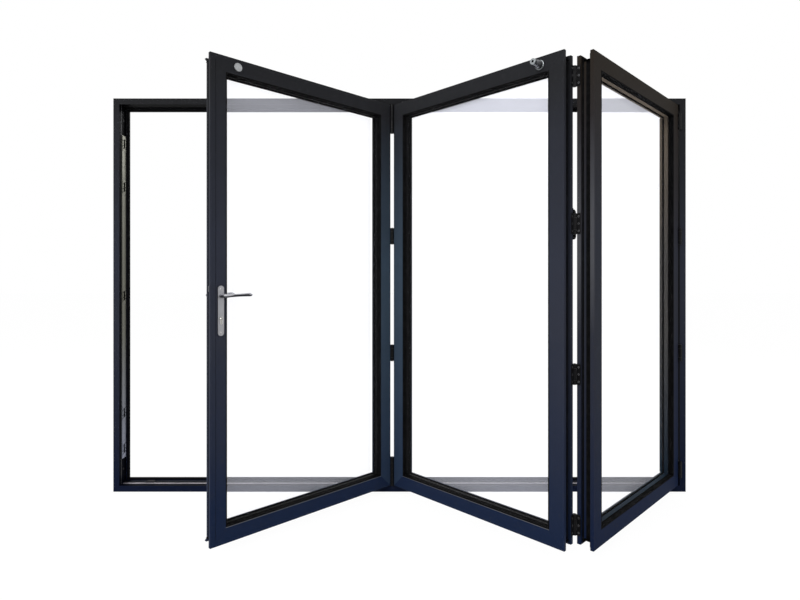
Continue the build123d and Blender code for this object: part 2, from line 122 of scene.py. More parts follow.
# %% The finish builder
class Graph:
    """A node tree, and the one call that adds a node to it."""

    def __init__(self, tree):
        self.tree = tree

    def feed(self, socket, value):
        if isinstance(value, Level):
            self.tree.links.new(value.socket, socket)
        elif socket.type == "RGBA":
            socket.default_value = (*value, 1.0)
        else:
            socket.default_value = value

    def node(self, kind, settings=None, values=None, output=0):
        made = self.tree.nodes.new(kind)
        for name, value in (settings or {}).items():
            setattr(made, name, value)
        for name, value in (values or {}).items():
            self.feed(made.inputs[name], value)
        return Level(self, made.outputs[output])

    def output_of(self, name):
        """What a node that the tree came with gives out."""
        return Level(self, self.tree.nodes[name].outputs[0])


class Finish(Graph):
    """A material, and the few calls that shape it."""

    def __init__(self, name, **constants):
        self.material = bpy.data.materials.new(name)
        self.material.use_nodes = True
        super().__init__(self.material.node_tree)
        self.place = self.node("ShaderNodeTexCoord", output="Object")
        self.set(**constants)

    def set(self, **inputs):
        shader = self.tree.nodes["Principled BSDF"]
        for name, value in inputs.items():
            self.feed(shader.inputs[name.replace("_", " ")], value)

    def mix(self, factor, first, second):
        """A colour between two colours."""
        colours = {0: factor, 6: first, 7: second}
        return self.node("ShaderNodeMix", {"data_type": "RGBA"}, colours, 2)

    def stretched(self, along, turn=(0.0, 0.0, 0.0)):
        values = {"Vector": self.place, "Scale": along, "Rotation": turn}
        return self.node("ShaderNodeMapping", None, values)

    def noise(self, scale, detail, where=None):
        values = {"Vector": where or self.place, "Scale": scale, "Detail": detail}
        return self.node("ShaderNodeTexNoise", None, values, "Fac")

    def height(self):
        return self.node("ShaderNodeSeparateXYZ", None, {"Vector": self.place}, "Z")

    def facing(self, axis):
        """1 where the surface looks along an axis and -1 where it looks the other way."""
        look = self.node("ShaderNodeTexCoord", output="Normal")
        return self.node("ShaderNodeSeparateXYZ", None, {"Vector": look}, axis)

    def along(self, direction):
        """How far the surface lies along a direction."""
        values = {0: self.place, 1: tuple(direction)}
        return self.node("ShaderNodeVectorMath", {"operation": "DOT_PRODUCT"}, values, "Value")

    def bump(self, relief, distance, strength):
        values = {"Height": relief, "Distance": distance, "Strength": strength}
        self.set(Normal=self.node("ShaderNodeBump", None, values))


print("finish builder ready")

# %% [markdown]
# ## Powder coat on aluminium
#
# The frame and the leaves are extruded aluminium with a dark powder coat, sprayed on dry and baked.
# It isn't quite flat: it flows into a fine orange peel. It is also painted greyer near the head and
# bluer near the sill, a painted reflection of the surroundings. A plain dark colour would look like
# card. The peel goes into the bump, a slow drift of gloss goes into the roughness, and the drift of
# hue, the painted reflection, is a mix by height.
#
# The two stiles that meet in the valley between the first two leaves mirror each other and the sky
# above, and the photograph shows them lighter and bluer. The studio has no blue sky, so these two
# take the same coat in a lighter tone. The frame's reveals lie deep between the leaves and the
# wall, so they are darker than its front.

# %% Powder coat
coat_height = 2.1
low_blend = (0.24, 0.36)
top_blend = (0.78, 0.36)
streak_tone = (0.082, 0.083, 0.090)
streak_width = 0.026


def graded(finish, rise, tones):
    """The low, middle and top tone, as rise goes from 0 at the sill to 1 at the head."""
    low, middle, top = tones
    hue = finish.mix(rise.above(*low_blend), low, middle)
    return finish.mix(rise.above(*top_blend), hue, top)


def scaled(colour, share):
    return tuple(share * part for part in colour)


def powder_coat(name, tones, gloss=0.03, reveal=1.0, lit_leaf=None):
    """reveal paints shade on the sides of a piece, and lit_leaf is the place of a leaf with a
    painted highlight along its edge.
    """
    coat = Finish(name, Specular_IOR_Level=gloss)
    drift = coat.noise(1.7, 3.0)
    peel = coat.noise(620.0, 2.0)
    dust = coat.noise(38.0, 5.0)
    rise = (coat.height() / coat_height + (drift - 0.5) * 0.25).clamped()
    # The hue by height is a painted reflection: bluer near the sill and greyer near the head.
    hue = graded(coat, rise, tones)
    if reveal < 1.0:
        front = (0.0 - coat.facing("Y")).above(0.6, 0.4)
        shade = coat.mix(rise, scaled(tones[0], reveal), scaled(tones[2], reveal))
        hue = coat.mix(front, shade, hue)
    if lit_leaf:
        across = lit_leaf.col[0].to_3d()
        inset = coat.along(across) - lit_leaf.translation.dot(across)
        # A painted highlight: a paler streak along the leaf's edge that fades above the middle.
        streak = coat.height().above(1.05, 0.30) * (1.0 - coat.height().above(1.60, 0.40))
        hue = coat.mix((1.0 - inset.above(0.002, streak_width)) * streak, hue, streak_tone)
    coat.set(
        Base_Color=coat.mix(dust.above(0.66, 0.2) * 0.2, hue, scaled(tones[2], 1.8)),
        Roughness=0.36 + drift * 0.14 + dust * 0.05,
    )
    coat.bump(peel * 0.7 + dust * 0.3, 0.00025, 0.35)
    return coat


leaf_tones = ((0.0074, 0.0142, 0.0375), (0.0235, 0.0265, 0.0385), (0.0150, 0.0155, 0.0175))
frame_tones = ((0.0050, 0.0078, 0.0205), (0.0190, 0.0210, 0.0300), (0.0120, 0.0122, 0.0135))
valley_tones = ((0.0185, 0.0310, 0.0590), (0.0330, 0.0500, 0.0730), (0.0155, 0.0160, 0.0185))
looks = {
    "powder_coat": powder_coat("powder_coat_anthracite", leaf_tones),
    "valley_coat": powder_coat("powder_coat_valley", valley_tones),
    "frame_coat": powder_coat("powder_coat_frame", frame_tones, gloss=0.014, reveal=0.2),
}
print("powder coat nodes", len(looks["powder_coat"].tree.nodes))

# %% [markdown]
# ## Brushed and satin metals
#
# Steel that is brushed has fine scratches in one direction, which stretch its highlights across
# them. An image of scratches would do, but noise squeezed along one axis gives the same grain at
# any distance. One function makes all these metals: the colour, the gloss and the direction of the
# grain are what differs between a satin plate, a mill finish track and a nickel cylinder. The keep
# plates also turn from a warm zinc tone at the top to a cool one near the sill, so they take a
# second colour for low down.

# %% Metals
upright = (60.0, 60.0, 1.5)
lengthwise = (1.2, 60.0, 60.0)


def even(count):
    """A grain that is as fine in every direction."""
    return (count, count, count)


def brushed(name, colour, gloss, grain=upright, low=None):
    metal = Finish(name, Metallic=1.0)
    scratch = metal.noise(28.0, 6.0, metal.stretched(grain))
    stain = metal.noise(24.0, 3.0)
    tone = metal.mix(metal.height().above(0.5, 0.7), low or colour, colour)
    darker = metal.mix(0.62, (0.0, 0.0, 0.0), tone)
    metal.set(
        Base_Color=metal.mix(scratch.above(0.5, 0.5) * 0.7 + stain * 0.3, darker, tone),
        Roughness=gloss + (scratch - 0.5) * 0.22 + (stain - 0.5) * 0.12,
    )
    metal.bump(scratch, 0.00005, 0.5)
    return metal


metals = {
    "satin_steel": ("satin_steel_plate", (0.33, 0.33, 0.35), 0.36),
    "cylinder_nickel": ("satin_nickel", (0.60, 0.59, 0.57), 0.24, even(40.0)),
    "magnet_chrome": ("bright_chrome", (0.36, 0.37, 0.38), 0.34, even(30.0)),
    "track_metal": ("track_aluminium", (0.055, 0.058, 0.064), 0.45, lengthwise),
    "bright_edge": ("rubbed_aluminium", (0.96, 0.90, 0.98), 0.35, lengthwise),
    "bolt_steel": ("bolt_steel", (0.40, 0.40, 0.40), 0.35, even(40.0)),
    "dull_edge": ("dull_aluminium", (0.065, 0.072, 0.085), 0.45, lengthwise),
    "keep_metal": ("zinc_plated_strip", (0.17, 0.17, 0.140), 0.45, upright, (0.27, 0.29, 0.37)),
    "pin_steel": ("pin_steel", (0.05, 0.05, 0.052), 0.45, (40.0, 40.0, 4.0)),
    "boss_dark": ("turned_dark_metal", (0.17, 0.175, 0.185), 0.36, even(30.0)),
    "strip_metal": ("drip_strip_metal", (0.15, 0.155, 0.17), 0.40, (2.0, 60.0, 60.0)),
    "boss_light": ("turned_light_metal", (0.29, 0.31, 0.32), 0.36, even(30.0)),
    "screw_steel": ("screw_steel", (0.16, 0.16, 0.17), 0.5, even(40.0)),
}
for look, recipe in metals.items():
    looks[look] = brushed(*recipe)
print("metals", sorted(metals))

# %% [markdown]
# ## The lever's steel
#
# A polished round bar mirrors what is above it along its top and what is below it along its
# underside. Outdoors the ground below is dark, so the bar shows a thin light line on top and a dark
# belly, and it is light all round near its neck and at its tip. A white studio has no dark ground,
# so the belly is painted darker by the direction that the surface faces, a painted reflection, and
# the light neck and tip are a painted highlight, set by the distance along the bar.

# %% Steel for the levers
lead_angle = math.radians(43.37)
lever_grain = (1.5, 60.0, 60.0)
grain_turn = (0.0, 0.0, math.radians(-43.4))


def lever_steel():
    steel = Finish("satin_steel_lever", Metallic=1.0)
    scratch = steel.noise(28.0, 6.0, steel.stretched(lever_grain, grain_turn))
    away = Vector((math.cos(lead_angle), math.sin(lead_angle), 0.0))
    reach = [vertex.co.dot(away) for vertex in nodes["outer_lever"].data.vertices]
    along = (steel.along(away) - min(reach)) / (max(reach) - min(reach))
    # The light neck and tip are a painted highlight, and the dark belly is a painted reflection.
    ends = (1.0 - along.above(0.30, 0.14)) + along.above(0.90, 0.06)
    light = (steel.facing("Z") + ends * 0.55 + (scratch - 0.5) * 0.3).above(0.52, 0.55)
    steel.set(
        Base_Color=steel.mix(light, (0.022, 0.023, 0.028), (0.50, 0.50, 0.53)),
        Roughness=0.24 + (scratch - 0.5) * 0.2,
    )
    steel.bump(scratch, 0.00005, 0.5)
    return steel


looks["lever_steel"] = lever_steel()
print("lever steel nodes", len(looks["lever_steel"].tree.nodes))

# %% [markdown]
# ## Black parts: hinges, rubber and nylon
#
# The hinges are black too, but each black is different. The hinge coat is smoother than the leaves
# and rubs bright on the knuckles, rubber is matt with a bloom of dust, and nylon has a fine
# moulded grain. Under soft light the roughness tells them apart more than the colour does.

# %% Hinge coat, rubber and nylon
def black_part(name, colour, worn, rough, grain, relief, gloss=0.08):
    part = Finish(name, Specular_IOR_Level=gloss)
    fine = part.noise(grain, 3.0)
    patch = part.noise(45.0, 4.0)
    part.set(
        Base_Color=part.mix(patch.above(0.56, 0.25) * 0.5, colour, worn),
        Roughness=rough + (patch - 0.5) * 0.2 + (fine - 0.5) * 0.1,
    )
    part.bump(fine * 0.6 + patch * 0.4, relief, 0.4)
    return part


hinge_tones = ((0.0035, 0.0036, 0.0042), (0.008, 0.008, 0.009))
rubber_tones = ((0.0035, 0.0035, 0.0038), (0.010, 0.010, 0.010))
nylon_tones = ((0.009, 0.009, 0.010), (0.019, 0.019, 0.020))
blacks = {
    "hinge_black": ("hinge_coat_black", *hinge_tones, 0.34, 500.0, 0.0001),
    "seal_rubber": ("seal_rubber", *rubber_tones, 0.66, 260.0, 0.0002, 0.01),
    "black_nylon": ("moulded_nylon", *nylon_tones, 0.5, 700.0, 0.0001),
}
for look, recipe in blacks.items():
    looks[look] = black_part(*recipe)
print("blacks", sorted(blacks))

# %% [markdown]
# ## Where each leaf stands
#
# Seals, screws and the finish of the glass all need a leaf's own directions: along it, through it
# and up. They could be copied from the drawing, but then a new angle would have to be typed in
# again. The panes of a leaf are a plain rectangle in plan, so the long direction of their corners
# is the direction of the leaf, and their middle gives its place.

# %% Leaf places
leaf_width = 0.988
leaf_height = 2.024
leaf_depth = 0.072
leaf_bottom = 0.036
glass_middle = 0.038


def leaf_place(number):
    """A frame at the lower outer corner of a leaf: X along it, Y through it and Z up."""
    panes = nodes["leaf_%d_glass_panes" % number].data
    corners = np.array([vertex.co[:2] for vertex in panes.vertices])
    middle = corners.mean(axis=0)
    spread = np.linalg.eigh(np.cov((corners - middle).T))[1][:, 1]
    along = spread if spread[0] > 0 else -spread
    back = np.array([-along[1], along[0]])
    start = middle - along * leaf_width / 2 - back * glass_middle
    place = Matrix.Identity(4)
    place.col[0] = (along[0], along[1], 0.0, 0.0)
    place.col[1] = (back[0], back[1], 0.0, 0.0)
    place.col[3] = (start[0], start[1], leaf_bottom, 1.0)
    return place


leaf = {number: leaf_place(number) for number in (1, 2, 3)}
for number, place in leaf.items():
    print("leaf", number, "starts at", [round(part, 4) for part in place.translation])

# %% [markdown]
# ## Glass
#
# Each leaf holds a sealed unit of two panes. Clear glass is invisible against white, but the dark
# frame behind it turns grey, because the glass also reflects the bright room. Nearly all of that
# comes from one face: the inner pane has a metal coating, too thin to see, on its side in the gap,
# which keeps the heat in. A refracting shader would be slow and noisy. A mostly see-through
# shader is enough, with an alpha that is high only on the coated face. That face is a pale veil
# that glows a little, a painted reflection of the bright room. The upper part of a pane mirrors
# the sky, most of all in the second and third leaf, so the veil is painted hazier there.
#
# The coating is ground away along the edges of the pane, so that the seals stick to it. There the
# glass stays clear and the black seals behind it look black. The clear border is wider on the side
# where one looks along the glass.

# %% Glass
coated_face = 0.048
coat_thickness = 0.0010
sight_line = 0.072
border_blur = 0.004
# Per leaf: the clear border at the left, at the right, at the top and bottom, and the painted sky's
# share.
glass_borders = {
    1: (0.003, 0.026, 0.008, 0.07),
    2: (0.027, 0.003, 0.008, 0.30),
    3: (0.003, 0.068, 0.014, 0.30),
}


def clear_glass(number, left, right, level, sky):
    """Float glass whose coated face, a glowing veil of painted reflection, stops short of the sight
    line on each side.
    """
    name = "float_glass_leaf_%d" % number
    # The coated face glows a little: its emission is a painted reflection of the bright room.
    glass = Finish(name, Specular_IOR_Level=0.3, Emission_Strength=0.38)
    start = leaf[number].translation
    across, back = (leaf[number].col[column].to_3d() for column in (0, 1))
    depth = glass.along(back) - (coated_face + start.dot(back))
    along = glass.along(across) - start.dot(across)
    up = glass.height() - leaf_bottom
    coat = 1.0 - abs(depth).above(coat_thickness, 0.0006)
    coat = coat * along.between(sight_line + left, leaf_width - sight_line - right, border_blur)
    coat = coat * up.between(sight_line + level, leaf_height - sight_line - level, border_blur)
    smear = glass.noise(3.0, 4.0, glass.stretched((1.0, 1.0, 0.4)))
    # The veil's alpha: the painted reflection, a little smear, and more painted sky reflection up
    # high.
    smear_and_reflection = 0.165 + smear * 0.02 + glass.height().above(1.60, 0.25) * sky
    glass.set(
        Base_Color=glass.mix(smear, (0.79, 0.81, 0.94), (0.83, 0.85, 0.98)),
        Roughness=0.10 + smear * 0.08,
        Alpha=0.0012 + coat * smear_and_reflection,
        Emission_Color=glass.mix(smear, (0.96, 0.97, 1.0), (1.0, 1.0, 1.0)),
    )
    glass.material.surface_render_method = "BLENDED"
    return glass


for number, border in glass_borders.items():
    looks["leaf_%d_glass" % number] = clear_glass(number, *border)
print("glass in", len(glass_borders), "leaves")

# %% [markdown]
# ## Coats of the third leaf
#
# The third leaf is seen at a slant, where even a matt coat turns into a mirror of the white studio,
# so its coat has less gloss. Its closing edge and the rim of its face catch the light in a long
# streak that fades above the middle. Its glazing beads and the bar between its panes are lit from
# indoors. Lamps could be aimed at them, but each would light the other leaves too. So three coats
# carry the difference: the first is paler along the leaf's edge, and the other two are warmer.

# %% Coats for leaf 3
side_tones = ((0.0068, 0.0125, 0.0350), (0.0235, 0.0255, 0.0345), (0.0205, 0.0168, 0.0138))
bead_tones = ((0.0130, 0.0230, 0.0370), (0.0650, 0.0620, 0.0600), (0.1300, 0.1050, 0.0800))


def edge_bar():
    """The bar between the panes: black, with painted light from indoors in the third leaf."""
    edge = Finish("warm_edge_bar", Specular_IOR_Level=0.02)
    lit = edge.along((1.0, 0.0, 0.0)).above(leaf[3].translation.x, 0.004)
    tone = graded(edge, (edge.height() / coat_height).clamped(), bead_tones)
    grain = edge.noise(320.0, 3.0)
    black = edge.mix(grain, (0.004, 0.004, 0.005), (0.010, 0.010, 0.010))
    edge.set(Base_Color=edge.mix(lit, black, tone), Roughness=0.42 + grain * 0.12)
    edge.bump(grain, 0.0001, 0.4)
    return edge


looks["side_leaf_coat"] = powder_coat(
    "powder_coat_side_leaf", side_tones, gloss=0.008, lit_leaf=leaf[3])
looks["lit_bead_coat"] = powder_coat("powder_coat_lit_bead", bead_tones, gloss=0.02)
looks["spacer_metal"] = edge_bar()
print("coats", sorted(name for name in looks if "coat" in name))

# %% [markdown]
# ## Finishes on the CAD pieces
#
# The record says which finish each piece takes. CAD edges are perfectly sharp, and a perfectly
# sharp edge never catches light. So every piece gets a weld, which joins the split corners, and a
# small bevel that suits its metal. It is a modifier, so the CAD mesh stays as it is.

# %% Dress the CAD nodes
smooth_angle = math.radians(35.0)
plain_bevel = 0.0004
bevels = {
    "satin_steel": 0.0016,
    "lever_steel": 0.0022,
    "cylinder_nickel": 0.0006,
    "magnet_chrome": 0.0012,
    "hinge_black": 0.0005,
}


def soften(made, width):
    weld = made.modifiers.new("weld", "WELD")
    weld.merge_threshold = 0.00002
    bevel = made.modifiers.new("arris", "BEVEL")
    bevel.width = width
    bevel.segments = 2
    bevel.limit_method = "ANGLE"
    bevel.angle_limit = smooth_angle
    made.modifiers.new("normals", "WEIGHTED_NORMAL").keep_sharp = True


def look_of(name, slot):
    """The finish of a CAD node: the record's own, or one of the coats made for this light."""
    if slot == "clear_glass":
        return name.replace("_panes", "")
    # The magnet boss takes a darker copy of its metal: painted shade.
    if name == "magnet_boss":
        return "boss_dark"
    if slot != "powder_coat":
        return slot
    if name in ("leaf_1_right_stile", "leaf_2_left_stile"):
        return "valley_coat"
    if name == "leaf_3_glazing_beads":
        return "lit_bead_coat"
    if name.startswith("leaf_3"):
        return "side_leaf_coat"
    return "powder_coat" if name.startswith("leaf") else "frame_coat"


for row in frame["record"]["subparts"]:
    node = nodes[row["node"]]
    slot = row["material_slot"]
    node.data.materials.clear()
    node.data.materials.append(looks[look_of(row["node"], slot)].material)
    soften(node, bevels.get(slot, plain_bevel))

# %% [markdown]
# ## Small tools for making pieces
#
# Nearly all the small parts of a door are turned on a lathe, cut from a bar, or pushed through a
# die. Three helpers follow those trades: turned() spins a profile, bar() fills an outline, and
# rim() runs a section round a rectangle with mitred corners, as a seal or a bead is fitted.

# %% Lathe, bar and rim
def at(along, back, up):
    """A step within a leaf: along it, through it and up it."""
    return Matrix.Translation((along, back, up))


def facing(direction):
    """Turns the lathe's axis, which is Z, towards a direction."""
    return Vector(direction).to_track_quat("Z", "Y").to_matrix().to_4x4()


def turned(shape, profile, place, steps=28):
    """Spins (radius, height) points about Z. They start and end at radius 0, or close a ring."""
    rings = []
    for radius, height in profile:
        count = 1 if radius == 0 else steps
        ring = []
        for step in range(count):
            angle = 2 * math.pi * step / steps
            point = Vector((radius * math.cos(angle), radius * math.sin(angle), height))
            ring.append(shape.verts.new(place @ point))
        rings.append(ring)
    for low, high in zip(rings, rings[1:]):
        for step in range(steps):
            following = (step + 1) % steps
            face = [low[step % len(low)], low[following % len(low)]]
            face += [high[following % len(high)], high[step % len(high)]]
            distinct = list(dict.fromkeys(face))
            if len(distinct) > 2:
                shape.faces.new(distinct)


def bar(shape, outline, low, high, place):
    """Fills an outline of (x, y) points from height low to high."""
    rings = [[shape.verts.new(place @ Vector((x, y, z))) for x, y in outline] for z in (low, high)]
    count = len(outline)
    for step in range(count):
        following = (step + 1) % count
        shape.faces.new([rings[0][step], rings[0][following], rings[1][following], rings[1][step]])
    shape.faces.new(list(reversed(rings[0])))
    shape.faces.new(rings[1])


def slab(shape, along, back, up, place):
    """A plain block between two limits each way."""
    corners = [(along[0], back[0]), (along[1], back[0]), (along[1], back[1]), (along[0], back[1])]
    bar(shape, corners, up[0], up[1], place)


def rim(shape, section, width, height, place):
    """Runs a section of (inset, depth) points round a rectangle."""
    rings = []
    for right, top in ((0, 0), (1, 0), (1, 1), (0, 1)):
        ring = []
        for inset, depth in section:
            x = width - inset if right else inset
            z = height - inset if top else inset
            ring.append(shape.verts.new(place @ Vector((x, depth, z))))
        rings.append(ring)
    count = len(section)
    for side in range(4):
        near, far = rings[side], rings[(side + 1) % 4]
        for step in range(count):
            following = (step + 1) % count
            shape.faces.new([near[step], near[following], far[following], far[step]])


def piece(name, shape, look, body="door", bevel=0.0):
    """Turns a bmesh into a finished object that rides on a body."""
    bmesh.ops.remove_doubles(shape, verts=shape.verts, dist=0.000005)
    bmesh.ops.recalc_face_normals(shape, faces=shape.faces)
    mesh = bpy.data.meshes.new(name)
    shape.to_mesh(mesh)
    shape.free()
    for polygon in mesh.polygons:
        polygon.use_smooth = True
    made = bpy.data.objects.new(name, mesh)
    bpy.context.scene.collection.objects.link(made)
    mesh.materials.append(looks[look].material)
    mesh.set_sharp_from_angle(angle=smooth_angle)
    if bevel:
        soften(made, bevel)
    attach(made, body)


print("helpers ready")

# %% [markdown]
# ## Seals round the leaves
#
# Behind the outer flange of each leaf runs a rubber bulb that closes on the frame, and a second one
# runs near its inner face. A thin lip holds the glass on either side. Each is one long extrusion,
# cut to length and mitred. Sweeping a curve would round the corners, so rim() is the better match.

# %% Rubber seals
lip = [(0.0700, 0.0238), (0.0700, 0.0205), (0.0732, 0.0200), (0.0745, 0.0222), (0.0735, 0.0240)]
inner_lip = [(inset, 2 * glass_middle - depth) for inset, depth in lip]


def bulb(inset, depth, size):
    """A round bulb on a short foot, as (inset, depth) points."""
    points = []
    for step in range(10):
        angle = math.radians(-60 + 300 * step / 9)
        points.append((inset - size * math.cos(angle), depth + size * math.sin(angle)))
    return points


for number, place in leaf.items():
    shape = bmesh.new()
    rim(shape, bulb(0.0115, 0.0182, 0.0035), leaf_width, leaf_height, place)
    rim(shape, bulb(0.0165, 0.0530, 0.0032), leaf_width, leaf_height, place)
    piece("leaf_%d_bulb_seals" % number, shape, "seal_rubber")
    shape = bmesh.new()
    rim(shape, lip, leaf_width, leaf_height, place)
    rim(shape, inner_lip, leaf_width, leaf_height, place)
    piece("leaf_%d_glazing_lips" % number, shape, "seal_rubber")
print("seals on", len(leaf), "leaves")

# %% [markdown]
# ## The seal's lap and the light line under the glass
#
# The outer glazing seal laps a few millimetres over the inner edge of the profile, so the face of
# the leaf looks narrower than the metal is. On the first two leaves the lap ends along the bottom
# rail in a light line, a narrow metal strip that is a painted highlight along the rail's lip. Both
# lie on the face like tape, and are modelled as such: a flat rim with mitred corners and a thin
# bar.

# %% Seal laps and rail highlight strips
lap = [(0.0670, 0.0002), (0.0672, -0.0004), (0.0722, -0.0004), (0.0727, 0.0002)]
lap += [(0.0727, 0.0198), (0.0716, 0.0198), (0.0716, 0.0002)]
highlight_strip_inset = 0.0672

for number, place in leaf.items():
    shape = bmesh.new()
    rim(shape, lap, leaf_width, leaf_height, place)
    piece("leaf_%d_seal_lap" % number, shape, "seal_rubber")
    # On the first two leaves a thin metal strip is a painted highlight along the bottom rail's lip.
    if number < 3:
        shape = bmesh.new()
        across = (highlight_strip_inset, leaf_width - highlight_strip_inset)
        slab(shape, across, (-0.0007, 0.0002), (0.0648, 0.0671), place)
        piece("leaf_%d_drip_strip" % number, shape, "strip_metal", bevel=0.0002)
print("laps on", len(leaf), "leaves, strips on 2")

# %% [markdown]
# ## Screws
#
# A door is held together by countersunk screws. Each is turned with a shallow dish and a recess. A
# real recess has six sides, but at this size only its glint is seen, so a round one will do. One
# screw() call adds a head to a shared mesh, so all the screws of one group are a single object.

# %% Screw heads
def screw(shape, place, radius=0.0042):
    """A countersunk head whose top faces along the place's Z."""
    profile = [(0.0, -0.0016), (radius * 0.45, -0.0016), (radius * 0.5, -0.0002)]
    profile += [(radius * 0.72, 0.0003), (radius * 0.96, 0.0001), (radius, -0.0006)]
    profile += [(radius * 0.6, -0.0026), (0.0, -0.0026)]
    turned(shape, profile, place, 18)


def levels_near(node, point, reach):
    """The lowest and highest level of each solid of a node that stands near a point in plan."""
    vertices = nodes[node].data.vertices
    near = [vertex.co.z for vertex in vertices if (vertex.co.xy - point.xy).length < reach]
    heights = sorted({round(height, 4) for height in near})
    return list(zip(heights[0::2], heights[1::2]))


stand_off = 0.009
axes = {
    "centre": leaf[1] @ Vector((leaf_width + 0.003, -stand_off, 0.0)),
    "inner": leaf[2] @ Vector((leaf_width + 0.003, leaf_depth + stand_off, 0.0)),
    "jamb": leaf[3] @ Vector((leaf_width + 0.0025, -stand_off, 0.0)),
}
hinge_spans = {}
for name, axis in axes.items():
    hinge_spans[name] = levels_near("hinge_pins", axis, 0.012)
    print(name, "hinges at", [round((low + high) / 2, 3) for low, high in hinge_spans[name]])

# %% Screws in the hinge flaps
flap_face = 0.0022
inner_flap_middle = 0.0640
outer_flap_middle = 0.0090
small_screw = 0.0036
to_right, to_left = (1, 0, 0), (-1, 0, 0)

flap_screws = bmesh.new()
for low, high in hinge_spans["inner"]:
    for rise in (-0.030, 0.0, 0.030):
        up = (low + high) / 2 - leaf_bottom + rise
        right = at(leaf_width + flap_face, inner_flap_middle, up) @ facing(to_right)
        screw(flap_screws, leaf[2] @ right)
        screw(flap_screws, leaf[3] @ at(-flap_face, inner_flap_middle, up) @ facing(to_left))
for name, right_leaf, left_leaf in (("centre", 1, 2), ("jamb", 3, None)):
    for low, high in hinge_spans[name]:
        for share in (-0.3, 0.3):
            up = (low + high) / 2 - leaf_bottom + share * (high - low)
            right = at(leaf_width + flap_face, outer_flap_middle, up) @ facing(to_right)
            screw(flap_screws, leaf[right_leaf] @ right, small_screw)
            if left_leaf:
                left = at(-flap_face, outer_flap_middle, up) @ facing(to_left)
                screw(flap_screws, leaf[left_leaf] @ left, small_screw)
piece("hinge_flap_screws", flap_screws, "screw_steel")
print("hinge screws done")

# %% Caps on the hinge pins
cap = [(0.0, -0.0004), (0.0052, -0.0004), (0.0050, 0.0008), (0.0034, 0.0014), (0.0, 0.0015)]
pin_caps = bmesh.new()
for name, axis in axes.items():
    for low, high in hinge_spans[name]:
        for level, way in ((low, (0, 0, -1)), (high, (0, 0, 1))):
            turned(pin_caps, cap, at(axis.x, axis.y, level) @ facing(way), 18)
piece("hinge_pin_caps", pin_caps, "hinge_black")
print("pin caps done")

# %% [markdown]
# ## Black plastic behind the flanges
#
# An aluminium profile is really two shells, held apart by strips of black plastic so that the cold
# stays outside. Here the strip fills the groove behind the outer flange, so it is partly that real
# plastic and partly painted shade: it keeps the groove black as the darkest line of the edge. It is
# a flat extrusion, slid into the groove before the corners are crimped, so a slab is all it needs.
# The lead stile has the lock's long faceplate in that place.

# %% Thermal break strips and groove shade
break_and_shade_depth = (0.0152, 0.0400)
stile_break_and_shade = (0.0170, 0.0183)
rail_break_and_shade = (0.0328, 0.0342)
stile_end = 0.0345


def from_both_ends(span, length):
    """A span of insets, measured from the start of a length and from its end."""
    return span, (length - span[1], length - span[0])


# Each strip is partly real plastic and partly painted shade in the groove behind the flange.
for number, place in leaf.items():
    shape = bmesh.new()
    left, right = from_both_ends(stile_break_and_shade, leaf_width)
    for across in ((right,) if number == 1 else (left, right)):
        slab(shape, across, break_and_shade_depth, (stile_end, leaf_height - stile_end), place)
    for levels in from_both_ends(rail_break_and_shade, leaf_height):
        slab(shape, (0.0, leaf_width), break_and_shade_depth, levels, place)
    piece("leaf_%d_thermal_breaks" % number, shape, "seal_rubber")
print("thermal breaks on", len(leaf), "leaves")

# %% [markdown]
# ## The lock's bolts
#
# The faceplate on the lead stile's edge is a long strip with a sprung latch, a square deadbolt at
# the cylinder and hooks near both ends. The latch has a slope on one side, so that the door pushes
# it in as it closes. All of them are cut from bar, so each is an outline with a thickness.

# %% Latch, deadbolt and hooks
plate_front = 0.015
plate_middle = 0.031
bolt_root = plate_front + 0.001
hook_tip = plate_front - 0.0025
hook_half = 0.016
slide_root = leaf_width - 0.0153

lock_parts = bmesh.new()
latch = [(bolt_root, 0.0250), (plate_front - 0.0110, 0.0250), (plate_front - 0.0105, 0.0275)]
latch += [(bolt_root, 0.0370)]
bar(lock_parts, latch, 1.0450, 1.0690, leaf[1])
slab(lock_parts, (plate_front - 0.0020, bolt_root), (0.0250, 0.0370), (0.9150, 0.9490), leaf[1])
for level in (0.183, 0.376, 1.594, 1.826):
    levels = (level - hook_half, level + hook_half)
    hook = [(bolt_root, 0.0275), (hook_tip, 0.0275), (hook_tip, 0.0345), (bolt_root, 0.0345)]
    bar(lock_parts, hook, *levels, leaf[1])
piece("lock_bolts", lock_parts, "bolt_steel", bevel=0.0006)

edge_screws = bmesh.new()
for level in (0.142, 0.240, 0.420, 0.620, 0.820, 0.990, 1.120, 1.320, 1.520, 1.680, 1.780, 1.862):
    spot = at(plate_front - 0.0002, plate_middle, level)
    screw(edge_screws, leaf[1] @ spot @ facing(to_left), small_screw)
for level in (0.975, 1.066, 1.157):
    spot = at(leaf_width - 0.0148, 0.0270, level)
    screw(edge_screws, leaf[2] @ spot @ facing(to_right), 0.0034)
piece("faceplate_screws", edge_screws, "screw_steel")

# A black slab in the groove on the lead stile's face: painted shade.
line = bmesh.new()
slab(line, (0.0235, 0.0245), (0.0003, 0.0014), (0.002, leaf_height - 0.002), leaf[1])
piece("lead_stile_line", line, "seal_rubber")
slides = bmesh.new()
slab(slides, (slide_root, slide_root + 0.0018), (0.0215, 0.0325), (1.000, 1.036), leaf[2])
slab(slides, (slide_root, slide_root + 0.0028), (0.0235, 0.0305), (1.090, 1.132), leaf[2])
piece("shootbolt_slides", slides, "dull_edge", bevel=0.0005)
print("lock bolts done")

# %% [markdown]
# ## The keeps on the jamb
#
# Each bolt closes into a keep, a small cast plate screwed over the slot in the long strip. It has
# sloped ribs that pull the hook in. The slot itself comes from the CAD strip, so the plate is built
# as a frame round it, and the ribs cross it at an angle.

